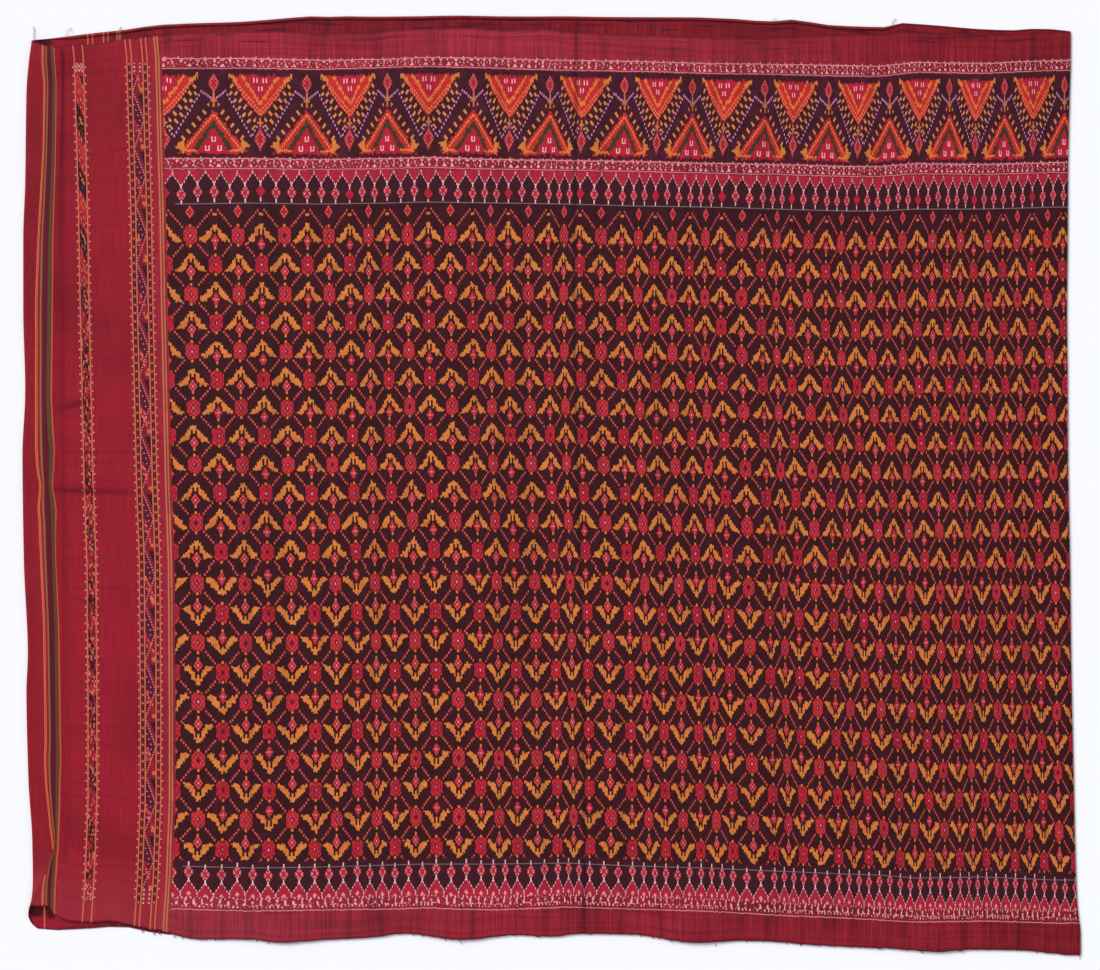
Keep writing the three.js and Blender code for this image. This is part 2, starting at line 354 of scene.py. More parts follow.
ribbon = bmesh.new()
bmesh.ops.create_grid(ribbon, x_segments=len(columns) - 1, y_segments=len(rows) - 1, size=0.5)
for map_name in ("Threads", "Chart", "Ends"):
    ribbon.loops.layers.uv.new(map_name)
seat_of = {}
for vert in ribbon.verts:
    column = round((vert.co.x + 0.5) * (len(columns) - 1))
    row = round((vert.co.y + 0.5) * (len(rows) - 1))
    point, across, down = loop_point(columns[column], rows[row])
    vert.co = point
    seat_of[vert] = (column, row, across, down)

FRONT_LAST = FRONT_SEAM_STEPS + FRONT_WIDE_STEPS
RIGHT_MIDDLE = FRONT_LAST + FOLD_STEPS // 2
BACK_LAST = FRONT_LAST + FOLD_STEPS + BACK_STEPS
LEFT_MIDDLE = BACK_LAST + FOLD_STEPS // 2
ROUND_FOLD = math.pi * FOLD_RADIUS / FOLD_STEPS


def chart_of(seat, on_front):
    """The three maps' values at a corner of a face of the front or of the back layer."""
    column, row, across, down = seat
    right_edge = read_table(SIDES, 2, down) - FOLD_RADIUS
    left_edge = read_table(SIDES, 1, down) + FOLD_RADIUS
    flat_across = across
    if FRONT_LAST < column <= FRONT_LAST + FOLD_STEPS:
        steps = column - FRONT_LAST
        flat_across = right_edge + (steps if on_front else FOLD_STEPS - steps) * ROUND_FOLD
    if column > BACK_LAST:
        steps = column - BACK_LAST
        flat_across = left_edge - (FOLD_STEPS - steps if on_front else steps) * ROUND_FOLD
    if on_front:
        axis = chart_axis(flat_across, down)
        end = ends_place(flat_across, down)
        length = flat_across
    else:
        axis = 2 * chart_axis(right_edge, down) - chart_axis(min(flat_across, right_edge), down)
        end = flat_across - BACK_DOUBLE_LINE
        length = 2 * HALF_ROUND - flat_across
    depth = chart_depth(min(max(across, left_edge), right_edge), down)
    kind, amount = rows[row]
    roll = ROLL_CLOTH * amount
    weft = {"hem": -roll, "body": amount * BODY_CLOTH, "waist": BODY_CLOTH + roll}[kind]
    return (length / 1000, weft / 1000), (axis, depth / 1000), (end / 1000, down / 1000)


known = {}
maps = ribbon.loops.layers.uv.values()
for face in ribbon.faces:
    middle = sum(seat_of[vert][0] for vert in face.verts) / 4
    on_front = middle < RIGHT_MIDDLE or middle > LEFT_MIDDLE
    for corner in face.loops:
        key = (seat_of[corner.vert][:2], on_front)
        if key not in known:
            known[key] = chart_of(seat_of[corner.vert], on_front)
        for uv_map, value in zip(maps, known[key]):
            corner[uv_map].uv = value

bmesh.ops.remove_doubles(ribbon, verts=ribbon.verts, dist=0.00002)
bmesh.ops.recalc_face_normals(ribbon, faces=ribbon.faces)
ribbon.faces.ensure_lookup_table()
topmost = max(ribbon.faces, key=lambda face: face.calc_center_median().z)
if topmost.normal.z < 0:
    bmesh.ops.reverse_faces(ribbon, faces=ribbon.faces)
bmesh.ops.solidify(ribbon, geom=ribbon.faces[:], thickness=THREAD_SHEET / 1000)

# Where each layer's two sides go on the square that the finish is baked to.
# scale, then the corner's place, for front outer, back outer, front inner, back inner
BAKE_PLACES = {
    (True, True): (0.80, 0.01, 0.01),
    (False, True): (0.23, 0.01, 0.765),
    (True, False): (0.23, 0.27, 0.765),
    (False, False): (0.23, 0.53, 0.765),
}
bake_map = ribbon.loops.layers.uv.new("OFBake")
threads_map = ribbon.loops.layers.uv["Threads"]
for face in ribbon.faces:
    lengths = [corner[threads_map].uv.x for corner in face.loops]
    on_front = sum(lengths) / len(lengths) < HALF_ROUND / 1000
    outer = (face.normal.z > 0) == on_front
    scale, seat_u, seat_v = BAKE_PLACES[(on_front, outer)]
    for corner in face.loops:
        length, weft = corner[threads_map].uv
        flat = length if on_front else 2 * HALF_ROUND / 1000 - length
        corner[bake_map].uv = (seat_u + scale * (flat - 0.02), seat_v + scale * (weft + 0.006))

cloth_mesh = bpy.data.meshes.new("ikat_tube_skirt")
ribbon.to_mesh(cloth_mesh)
ribbon.free()
for polygon in cloth_mesh.polygons:
    polygon.use_smooth = True
cloth = add_object("ikat_tube_skirt", cloth_mesh)


# Numbers and colours that vary over the cloth, worked out by shader nodes.
def operation(name):
    """A method that works a value out by a math node, with other values or numbers."""

    def worked(value, *others):
        node = value.tree.nodes.new("ShaderNodeMath")
        node.operation = name
        for slot, other in zip(node.inputs, (value, *others)):
            if isinstance(other, Value):
                value.tree.links.new(other.socket, slot)
            else:
                slot.default_value = other
        return Value(value.tree, node.outputs[0])

    return worked


class Value:
    """A number that varies over the cloth, as a socket of a node tree."""

    def __init__(self, tree, socket):
        self.tree = tree
        self.socket = socket

    __add__ = operation("ADD")
    __sub__ = operation("SUBTRACT")
    __mul__ = operation("MULTIPLY")
    __truediv__ = operation("DIVIDE")
    __mod__ = operation("FLOORED_MODULO")
    whole = operation("FLOOR")
    nearest = operation("ROUND")
    size = operation("ABSOLUTE")
    under = operation("LESS_THAN")
    over = operation("GREATER_THAN")
    near = operation("COMPARE")
    least = operation("MINIMUM")
    most = operation("MAXIMUM")
    sine = operation("SINE")

    def __rsub__(self, number):
        return self * -1 + number

    def part(self):
        """What is left over a whole number."""
        return self % 1

    def aside(self):
        """How far the nearest whole number is."""
        return (self - self.nearest()).size()

    def between(self, low, high):
        return self.near((low + high) / 2, (high - low) / 2)

    def ramp(self, low, high):
        """0 below low and 1 above high, straight between."""
        node = self.tree.nodes.new("ShaderNodeMapRange")
        node.inputs["From Min"].default_value = low
        node.inputs["From Max"].default_value = high
        self.tree.links.new(self.socket, node.inputs["Value"])
        return Value(self.tree, node.outputs["Result"])


def dye(red, green, blue):
    """A colour from its screen values, 0 to 255."""
    steps = [red / 255, green / 255, blue / 255]
    return [s / 12.92 if s <= 0.04045 else ((s + 0.055) / 1.055) ** 2.4 for s in steps] + [1]


class Tone:
    """A colour of a node tree, from its screen values or another tone, that takes coats of others."""

    def __init__(self, tree, colour):
        self.tree = tree
        self.socket = getattr(colour, "socket", colour)

    def lay(self, colour, mask):
        """Lay a colour over it where the mask is 1."""
        node = self.tree.nodes.new("ShaderNodeMix")
        node.data_type = "RGBA"
        self.tree.links.new(mask.socket, node.inputs[0])
        for slot, tone in ((node.inputs[6], self.socket), (node.inputs[7], colour)):
            if isinstance(tone, tuple):
                slot.default_value = dye(*tone)
            else:
                self.tree.links.new(getattr(tone, "socket", tone), slot)
        self.socket = node.outputs[2]
        return self


def give(tree, slots, **values):
    """Set the slots of the same names to numbers, or join values and tones to them."""
    for label, value in values.items():
        slot = slots[label.replace("_", " ")]
        if isinstance(value, (Value, Tone)):
            tree.links.new(value.socket, slot)
        else:
            slot.default_value = value


def cloudy(tree, first, second, detail=2):
    """A cloudy number from 0 to 1 that varies with two others."""
    join = tree.nodes.new("ShaderNodeCombineXYZ")
    tree.links.new(first.socket, join.inputs[0])
    tree.links.new(second.socket, join.inputs[1])
    node = tree.nodes.new("ShaderNodeTexNoise")
    node.noise_dimensions = "2D"
    node.inputs["Scale"].default_value = 1
    node.inputs["Detail"].default_value = detail
    tree.links.new(join.outputs[0], node.inputs["Vector"])
    return Value(tree, node.outputs[0])


def chance(tree, number):
    """A number from 0 to 1 with no order, the same for every place with the same number."""
    node = tree.nodes.new("ShaderNodeTexWhiteNoise")
    node.noise_dimensions = "1D"
    tree.links.new(number.socket, node.inputs["W"])
    return Value(tree, node.outputs["Value"])


def new_group(name, inputs, outputs):
    """An empty group, its inputs as values, and what its outputs are joined to."""
    tree = bpy.data.node_groups.new(name, "ShaderNodeTree")
    for label in inputs.split():
        tree.interface.new_socket(label, in_out="INPUT", socket_type="NodeSocketFloat")
    for label in outputs.split():
        kind = "NodeSocketColor" if label == "Colour" else "NodeSocketFloat"
        tree.interface.new_socket(label, in_out="OUTPUT", socket_type=kind)
    entry = tree.nodes.new("NodeGroupInput")
    leave = tree.nodes.new("NodeGroupOutput")
    values = [Value(tree, entry.outputs[label]) for label in inputs.split()]
    return tree, values, leave.inputs


def placed(tree, group, **inputs):
    """A group in a tree, with its inputs given by name, and its outputs as values by name."""
    node = tree.nodes.new("ShaderNodeGroup")
    node.node_tree = group
    give(tree, node.inputs, **inputs)
    return {output.name: Value(tree, output) for output in node.outputs}


BUNDLES = 22
DARK = (54, 14, 20)
PURPLE = (66, 17, 32)
ORANGE = (213, 120, 56)
DEEP_ORANGE = (201, 98, 46)
RED = (171, 19, 39)
MAGENTA = (122, 16, 46)
PINK = (222, 108, 100)
PALE = (240, 178, 182)
LILAC = (200, 134, 156)


def dotted(raw):
    """The middle of each bundle, so that a stepped line breaks into one dot a bundle."""
    return (raw * BUNDLES).part().near(0.5, 0.34)


def checkered(raw, down, pitch=2.3):
    """Every other place of a net of one bundle by one step down."""
    return (((raw * BUNDLES).nearest() + (down / pitch).nearest()) % 2).over(0.5)


# Resist-dyed weft: the threads are tied and dyed in bundles, so every motif's edge climbs in small
# steps, and each pick slips a little up or down against the next.
resist, (axis, depth), out = new_group("resist dyed weft", "Axis Depth", "Axis Depth Even")
bundle = (axis * BUNDLES).whole()
pick = (axis * 3 * BUNDLES).whole()
bundle_slip = cloudy(resist, bundle * 7.31, depth * 0.055, 0)
pick_slip = chance(resist, pick + (depth / 7).whole() * 0.37)
slip = (bundle_slip - 0.5) * 5.5 + (pick_slip - 0.5) * 1.5
even = depth + (bundle_slip - 0.5) * 1.6
give(resist, out, Axis=(bundle + 0.5) / BUNDLES, Depth=depth + slip, Even=even)


# The field: rows of chevrons and rosettes in turn, in six-sided cells of dotted lines. The upper
# twelve rows point to the waist and the lower ten to the hem.
UPPER_FIRST = 235
UPPER_PITCH = 28.85
LOWER_FIRST = 584.2
LOWER_PITCH = 29.56

field, (axis, raw, depth, even), out = new_group("chevron field", "Axis Raw Depth Even", "Colour")
upper = (even - UPPER_FIRST) / UPPER_PITCH
upper = upper - (upper * (2 * math.pi / 11)).sine() * (1 / UPPER_PITCH)
lower = (even - LOWER_FIRST) / LOWER_PITCH + 12
in_lower = even.over(568)
row = upper * (1 - in_lower) + lower * in_lower
row_number = row.nearest()
way = 1 - in_lower * 2
level = (row - row_number) * 28.8 * way
down = level + (depth - even) * way
odd_row = (row_number * 0.5).part() * 2
step_place = axis + odd_row * 0.5
raw_place = raw + odd_row * 0.5
motif = raw_place.nearest()
chevron_off = (step_place - motif).size()
stem_off = (raw_place - motif).size()
rosette_off = 0.5 - chevron_off
eye_off = 0.5 - stem_off
fine = dotted(raw)

shade = cloudy(field, axis * 3, even * 0.05, 1)
warm = cloudy(field, axis * 2.1, even * 0.045, 0)
tone = Tone(field, DARK).lay(PURPLE, shade.ramp(0.4, 0.75) * 0.7)

off_line = (level.size() - rosette_off * 56 - 0.3).size()
line_reach = rosette_off.between(0.13, 0.285) * row_number.between(-1.5, 21.5)
line_reach = line_reach.most(rosette_off.between(0.04, 0.2) * even.under(217))
line_reach = line_reach * even.between(206.5, 864)
tone.lay((112, 22, 42), off_line.under(1.8) * line_reach)
dot_tone = Tone(field, (204, 90, 84)).lay((204, 98, 60), warm.over(0.5))
tone.lay(dot_tone, off_line.under(0.95) * line_reach * fine)

between_rows = Tone(field, tone)
varied = chance(field, motif + row_number * 31)
steep = (chance(field, motif + odd_row * 0.5) - 0.5) * 14 + 57
arm = down - chevron_off * steep + (varied - 0.5) * 1.6
chevron = arm.between(-12.3, -3.9) * chevron_off.under(0.275) * down.under(6.2)
foot = chevron_off.between(0.2, 0.305) * down.between(1.2, 6.2) * arm.over(-13.2)
chevron = chevron.most(foot)
chevron_tone = Tone(field, ORANGE).lay(DEEP_ORANGE, warm.ramp(0.45, 0.8) * 0.6)
chevron_tone.lay((220, 136, 60), arm.between(-12.3, -9.8) * 0.5)
tone.lay(DARK, arm.between(-15, -2) * chevron_off.under(0.32) * down.under(8.6))
tone.lay(chevron_tone, chevron)
slit = stem_off.between(0.02, 0.064) * level.between(-6.2, 0.6)
tone.lay(DARK, slit)
stem = stem_off.under(0.02) * level.between(-7.4, 2.8)
tone.lay((216, 130, 66), stem)

up_axis = (motif * 0.5).part() * 2
floret_at = (9 - up_axis * 4) * (1 - odd_row) + odd_row * 6.6
floret_down = (level - floret_at).size()
floret_edge = stem_off / 0.092 + floret_down / 7
tone.lay(DARK, floret_edge.under(1.42))
tone.lay(RED, floret_edge.under(1))
floret_dots = checkered(raw, level - floret_at) * floret_edge.between(0.42, 1)
tone.lay((216, 92, 86), floret_dots * 0.75)
tone.lay(PALE, (stem_off / 0.024 + floret_down / 1.5).under(1) * 0.6)
tone.lay((206, 116, 62), stem_off.under(0.022) * (level - floret_at).between(5.4, 8.6))

rosette_up = down.size()
edge = rosette_off / 0.14 + rosette_up / 9
rosette = edge.under(1.54) * rosette_off.under(0.138) * rosette_up.under(8.4)
rosette_tone = Tone(field, RED).lay(MAGENTA, shade.ramp(0.4, 0.6) * 0.4)
eye_edge = eye_off / 0.14 + level.size() / 9.2
rim_dots = checkered(raw, level) * eye_edge.between(1.08, 1.5)
inner_dots = checkered(raw, level, 3.1) * eye_edge.between(0.5, 0.85)
rosette_tone.lay((212, 78, 60), rim_dots * 0.6)
rosette_tone.lay((214, 84, 84), inner_dots * 0.5)
rosette_tone.lay((72, 14, 46), (eye_off / 0.034 + level.size() / 2.6).under(1))
white_eye = (eye_off / 0.024 + level.size() / 1.7).under(1) * varied.under(0.6)
rosette_tone.lay((226, 150, 166), white_eye)
tone.lay(rosette_tone, rosette)
tone.lay((216, 118, 56), eye_off.under(0.024) * level.size().between(8.6, 11.2))
tone = between_rows.lay(tone, row_number.between(-0.5, 21.5))

small_edge = (raw + 0.5).aside() / 0.092 + (even - 211).size() / 7
tone.lay(RED, small_edge.under(1))
tone.lay(PINK, checkered(raw, even - 211) * small_edge.between(0.42, 1) * 0.6)
tone.lay((210, 108, 60), raw.aside().under(0.045) * even.between(212.6, 215.2))
give(field, out, Colour=tone)


# The triangle border: red triangles from the waist side on every second axis, others from the
# field side between them, and a dotted lilac line that climbs from one to the next.
triangles, (axis, raw, depth, even), out = new_group("triangle border", "Axis Raw Depth Even", "Colour")
AXIS_WIDTH = 47


def from_every_second(place, start):
    """Millimetres from the nearest of every second axis, on the widest ones."""
    half = place * 0.5 + start
    return (half - half.nearest()) * (2 * AXIS_WIDTH)


wide = from_every_second(axis, 0).size()
wide_up = from_every_second(axis, 0.5).size()
raw_down = from_every_second(raw, 0)
raw_up = from_every_second(raw, 0.5)
fine = dotted(raw)

dull = cloudy(triangles, axis * 3, depth * 0.07, 1)
tone = Tone(triangles, (62, 18, 28)).lay((76, 22, 42), dull.ramp(0.4, 0.7))
climb = (152.6 - wide * (82 / AXIS_WIDTH)).most(wide * (36 / AXIS_WIDTH) + 64)
climb = climb.least(wide * (84 / AXIS_WIDTH) + 121)
off_climb = (even - climb).size()
tone.lay((64, 14, 44), off_climb.under(4.6))
tone.lay(LILAC, off_climb.under(1.25) * fine)

edge_down = 117 - wide * 0.9 - wide * wide * 0.0145
edge_up = wide_up * 1.3 + 109
beside_down = raw_down.size()
beside_up = raw_up.size()
off_down = even + beside_down * 0.9 + beside_down * beside_down * 0.0145 - 117
for off_edge, lengthwise, reach, turned in (
    (off_down - 7, even - beside_down * 1.2, wide, 0),
    (off_down - 16.5, even - beside_down * 1.2, wide, 0.5),
    (even - beside_up * 1.3 - 100.5, even + beside_up * 1.2, wide_up, 0.25),
):
    stroke = (lengthwise / 12.4 + turned).part().under(0.3) * off_edge.near(0, 4)
    shown = stroke * reach.between(4, 31) * off_climb.over(3.4)
    tone.lay((212, 132, 74), shown)

triangle = depth.over(75.4) * (depth - edge_down).under(0) * wide.under(27.5)
tone.lay((194, 42, 42), triangle)
dots = (even + wide * 1.2).near(111.5, 1.2).most((even - edge_down).near(-2.2, 1.2))
tone.lay((228, 118, 72), dots * fine * triangle)
inner = (depth + wide * 1.5).under(105) * triangle
tone.lay((182, 28, 50), inner)
inner_line = (depth + wide * 1.5).near(103.6, 2.1) * triangle
tone.lay((222, 120, 52), inner_line)
for place, at_level in ((-4.8, 80.5), (4.6, 80.5), (0.2, 88.5)):
    tick = (raw_down - place).size().near(1.6, 0.62) * even.near(at_level, 2.3)
    tone.lay(PALE, tick)
flag = (depth + wide * 0.75).near(98.6, 2) * wide.between(23, 31.5)
tone.lay((216, 124, 56), flag)

rising = (depth - edge_up).over(0) * depth.under(153.5) * wide_up.under(34)
tone.lay((194, 42, 42), rising)
dots = (even - edge_up).near(5, 1.3).most(even.near(150.2, 1.1) * wide_up.between(10, 30))
tone.lay((228, 136, 66), dots * fine * rising)
inner_up = (depth - wide_up * 1.5).over(119) * (depth - wide_up * 0.04).under(149) * rising
tone.lay((68, 50, 34), inner_up)
heart = (depth - wide_up * 1.62).over(126.5) * rising
tone.lay((182, 28, 50), heart)
for place, at_level in ((0, 138.6), (-6, 148), (6, 148)):
    tick = (raw_up - place).size().near(1.6, 0.62) * even.near(at_level, 2.6)
    tick = tick.most(raw_up.near(place, 1.4) * (even - at_level).near(2.2, 0.5))
    tone.lay(PALE, tick)
corner = ((wide_up - 31) * 0.8 + (depth - 145.5).size()).under(4.4) * wide_up.between(28, 37)
tone.lay((212, 122, 54), corner)

for places, middle, half_wide, half_tall in (
    (raw_up, 83, 5.6, 10),
    (raw_down, 139, 6, 12),
):
    diamond = places.size() / half_wide + (even - middle).size() / half_tall
    tone.lay((164, 28, 44), diamond.under(1))
    tone.lay(PINK, checkered(raw, even - middle) * diamond.between(0.4, 1) * 0.75)
stalk = raw_up.near(0, 1) * even.between(92, 107)
stalk = stalk.most(raw_up.near(0, 3.2) * even.between(99.8, 101.6))
stalk = stalk.most(raw_down.near(0, 1) * even.between(118, 127))
stalk = stalk.most(raw_down.near(0, 3.2) * even.between(121.8, 123.6))
tone.lay((202, 106, 54), stalk)
give(triangles, out, Colour=tone)


# The bead chains: hooked ovals and ticks on crimson above and below the triangle border, and a
# chain of upright ticks under the field. Beads are left white by the ties.
chain, (raw, depth), out = new_group("bead chain", "Raw Depth", "Beads")
diamond = ((raw * 5.9).part() - 0.5).size() * 2.3 + (depth - 5.3).size() / 5
bar = diamond.over(1.12) * depth.between(2, 9.2)
seed = diamond.under(0.32) * 0.55
top_line = depth.between(0.6, 1.5).most(depth.between(-0.8, 0.6) * (raw * 3.7).part().under(0.12))
uneven = cloudy(chain, raw * 19, depth * 0.3, 0).ramp(0.4, 0.56)
beads = bar.most(seed) * uneven
beads = beads.most(top_line * 0.75).most(depth.between(10.4, 11.2) * 0.6)
give(chain, out, Beads=beads)

ticks, (raw, depth), out = new_group("tick chain", "Raw Depth", "Beads")
upright = (raw * 5.7).part().near(0.5, 0.14) * depth.between(1.4, 7.6)
dot = (raw * 11.4 + 0.25).part().near(0.5, 0.2) * depth.between(-0.8, 1.2).most(depth.between(7.4, 9.6))
rail = depth.between(6.2, 7.1) * cloudy(ticks, raw * 7, depth * 0.05, 0).over(0.5)
uneven = cloudy(ticks, raw * 18, depth * 0.3, 0).ramp(0.4, 0.54)
beads = (upright.most(dot).most(rail) * uneven).most(depth.between(11.7, 12.6) * 0.6)
give(ticks, out, Beads=beads)


# The pendants: red drops that hang from a dotted zigzag line at both ends of the field, three to
# each axis, each with a stem above and below it.
pendants, (raw, even, blobs), out = new_group("pendants", "Raw Even Blobs", "Colour")
third = raw * 3
even = even + (chance(pendants, third.nearest()) - 0.5) * 3.6
drop = third.aside()
boundary = 184.2 - drop * 23
tone = Tone(pendants, (62, 18, 28)).lay((170, 32, 54), (even - boundary).under(0))
zigzag = even.near(boundary, 0.9) * (drop * 7.4).part().near(0.5, 0.25)
zigzag = zigzag.most(drop.over(0.465) * even.between(169.6, 171.6))
tone.lay(PALE, zigzag)
drop_edge = drop / 0.32 + (even - 192.5).size() / 6.8
tone.lay((180, 30, 52), drop_edge.under(1))
net = ((drop * 7.4).nearest() + ((even - 192.5) / 2.3).nearest()) % 2
off_axis = (raw * 0.5).aside().over(0.06).most(blobs)
tone.lay((232, 150, 156), net.over(0.5) * drop_edge.between(0.5, 1) * off_axis)
stem = drop.under(0.045) * even.between(182.6, 187).most(even.between(198.6, 202.6))
tone.lay((236, 182, 188), stem)
blob = (drop / 0.15 + (even - 170.5).size() / 2.6).under(1) * blobs
tone.lay((226, 136, 146), blob)
give(pendants, out, Colour=tone)


# The end borders: stripes and two narrow ikat bands along both ends of the cloth, and the seam
# strip that joins them, woven in orange, olive and maroon.
ends, (off, down, back), out = new_group("end borders", "Off Down Back", "Colour Cover")
DOT_PITCH = 8.3
dyed_part = down.between(63, 904)
pitch_part = (down / DOT_PITCH).part()
wander = cloudy(ends, off * 0.4, (down / 2.2).whole() * 0.2, 0)

# the outer band: dark spindles, red and orange wedges and pink dots on a slant
slant = ((down - (off + 78.5) * 2.4) / 59 + (wander - 0.5) * 0.12).part()
band_off = (off + 78.5).size()
speck_place = (off * 0.8).whole()
fleck = chance(ends, speck_place + (down / 2.6 + speck_place * 0.5).whole() * 17)
tone = Tone(ends, (44, 12, 24)).lay((144, 18, 36), slant.between(0.30, 0.88))
tone.lay((166, 30, 38), slant.between(0.42, 0.66))
tone.lay((200, 88, 50), slant.between(0.48, 0.52) * band_off.under(2.4) * fleck.under(0.6))
orange_fleck = slant.between(0.98, 1).most(slant.under(0.06)) * band_off.under(2.4) * fleck.over(0.4)
tone.lay((196, 104, 56), orange_fleck)
dots = slant.near(0.36, 0.02).most(slant.near(0.80, 0.02)).most(slant.near(0.66, 0.015))
tone.lay(PINK, dots * (off * 0.42).part().under(0.5))
worn = down.ramp(230, 330)
tone.lay((48, 12, 26), wander.over(0.46) * worn * 0.85)
tone.lay((202, 100, 88), fleck.over(0.88) * (worn * 0.7 + 0.25))
tone.lay((164, 36, 42), fleck.under(0.3) * worn * 0.8)
chevrons = down.between(63, 72).most(down.between(884, 900) * fleck.over(0.45))
chevrons = chevrons * ((down + band_off * 1.6) / 4.4).part().under(0.42)
tone.lay((150, 32, 48), down.under(76).most(down.over(880)))
tone.lay(PALE, chevrons * 0.6)
covers = [off.between(-82.6, -74.4) * dyed_part]

# the inner band: two ladders and, between them, a dotted zigzag over aubergine and red
cycle = ((down - 63) / 57).part()
swing = (cycle - 0.5).size() * 2
across = off + 25.6
beyond = across - swing * 10.4
strip = Tone(ends, (80, 18, 38)).lay((118, 24, 42), beyond.over(0))
red_arm = (across - (1 - swing) * 10.4).size()
strip.lay((152, 26, 38), red_arm.under(2) * cycle.under(0.52))
strip.lay((54, 14, 28), beyond.over(3.6) * cycle.between(0.56, 0.9))
strip.lay((200, 92, 44), across.over(6.6) * cycle.near(0.46, 0.03))
strip.lay((204, 104, 84), fleck.over(0.84) * red_arm.under(2.8) * cycle.under(0.52))
strip.lay(PINK, beyond.near(0, 0.75) * (down / 2.6).part().under(0.5))
strip.lay((190, 108, 136), beyond.near(-4, 0.6) * (down / 5.2).part().under(0.3))
marks = down.between(63, 72).most(down.between(887, 905)) * (across - 5.1).size().near(2.8, 0.8)
strip.lay((146, 30, 46), down.under(74).most(down.over(890)))
strip.lay(PALE, marks * (down / 4.4).part().under(0.5) * 0.6)
middle_strip = off.between(-25.4, -15.2) * dyed_part
tone.lay(strip, middle_strip)
covers.append(middle_strip)
ladder_off = (off + 28.2).size().least((off + 12.5).size())
ladder = ladder_off.under(1.9) * dyed_part
ladder_tone = Tone(ends, (112, 20, 32)).lay((84, 18, 28), pitch_part.under(0.45))
ladder_tone.lay((204, 104, 84), ladder_off.under(0.8) * pitch_part.near(0.72, 0.11))
tone.lay(ladder_tone, ladder)
covers.append(ladder)

# where each line lies, its half width, and how much the back's lower and upper corner hide of it
for place, half, lower_hides, upper_hides in (
    (-83, 0.62, 1, 1),
    (-74, 0.62, 0, 1),
    (-30.6, 0.6, 0.8, 0),
    (-25.8, 0.6, 0.8, 0),
    (-14.8, 0.6, 0.8, 0),
    (-10.2, 0.6, 0.8, 0),
    (-1.45, 0.75, 0.8, 0),
    (1.45, 0.75, 0.8, 0),
):
    hidden = back * (down.over(890) * lower_hides).most(down.under(60) * upper_hides)
    line = off.near(place, half) * (1 - hidden)
    tone.lay((192, 104, 74), line)
    covers.append(line)
pair_gap = off.near(0, 0.7)
tone.lay((136, 50, 42), pair_gap)
covers.append(pair_gap)
beside = [off.near(place, 0.56) for place in (-84.7, -72.3, -32.2, -8.6)]
dots = reduce(Value.most, beside) * pitch_part.under(0.2) * dyed_part
tone.lay((222, 144, 140), dots)
covers.append(dots * 0.9)

cord = (down * 0.55 + off * 0.5).part().under(0.5)
olive = Tone(ends, (100, 80, 46)).lay((66, 40, 34), cord)
orange_pair = off.near(-124.8, 1.25) * (1 - down.between(849, 875))
for mask, stripe in (
    (off.near(-115.5, 4), (92, 14, 32)),
    (off.near(-119.6, 0.9), (128, 92, 60)),
    (off.near(-112.2, 1.45), olive),
    (orange_pair, (206, 104, 62)),
    (orange_pair * off.near(-124.8, 0.35), (140, 44, 42)),
    (off.near(-109.4, 0.55), (184, 92, 56)),
):
    tone.lay(stripe, mask)
    covers.append(mask)
give(ends, out, Colour=tone, Cover=reduce(Value.most, covers))


# The silk itself: crimson plain weave with faint bars across the weft, slubs along it, darker rolled
# selvedges, stains at both rims, painted shade in the crease beside the seam and painted shadow in the
# open corners.
silk, (length, weft, off, down), out = new_group(
    "crimson silk", "Length Weft Off Down", "Colour Streak Relief"
)
# Threads to the metre.
WARP_THREADS = 2400
WEFT_THREADS = 2200
slub = cloudy(silk, length * 900, weft * 22)
bar = cloudy(silk, length * 7, weft * 260, 1)
cloud = cloudy(silk, length * 9, weft * 9)
tone = Tone(silk, (156, 32, 50)).lay((138, 20, 34), length.ramp(0.55, 1.1))
tone.lay((150, 20, 38), off.ramp(-6, -9))
tone.lay((138, 18, 32), off.ramp(-120, -126))
slubs = off.ramp(-20, 4) * 0.22 + 0.26
tone.lay((104, 20, 34), slub.ramp(0.42, 0.8) * slubs)
tone.lay((178, 56, 70), slub.ramp(0.5, 0.15) * slubs)
tone.lay((112, 20, 34), bar.ramp(0.45, 0.8) * 0.4)
tone.lay((104, 14, 28), cloud.ramp(0.45, 0.8) * 0.6)
near_rim = 1 - weft.between(0.035, 0.873)
stain = cloudy(silk, length * 75, weft * 9, 1).ramp(0.6, 0.74)
tone.lay((74, 16, 30), stain * near_rim * off.over(8) * 0.5)
dash = cloudy(silk, length * 20, weft * 330, 0).ramp(0.66, 0.74)
tone.lay((84, 10, 32), dash * weft.between(0.896, 0.9072) * off.over(8) * 0.75)
lit_waist = weft.ramp(0.84, 0.9) * length.ramp(0.2, 0.5) * length.ramp(0.95, 0.6)
tone.lay((200, 62, 80), lit_waist * 0.22)
tone.lay((168, 92, 106), weft.ramp(0.07, 0) * length.ramp(0.5, 0.2) * 0.12)
on_back = length.over(HALF_ROUND / 1000)
# painted shade in the crease right of the seam strip, in place of the seam allowance ridge's shadow,
# stronger towards the waist
seam_shadow_at = down.ramp(60, 170) * -6.5 - 95.5
crease = (off - seam_shadow_at).size().ramp(4.2, 0.8) * (down.ramp(300, 130) * 0.5 + 0.2)
tone.lay((88, 8, 28), crease * down.between(49, 860))
tone.lay((84, 14, 30), weft.under(0.0012) * 0.6)
tone.lay((88, 14, 32), weft.over(0.9068) * 0.55)
tone.lay((142, 42, 44), weft.over(0.9077) * on_back * 0.8)
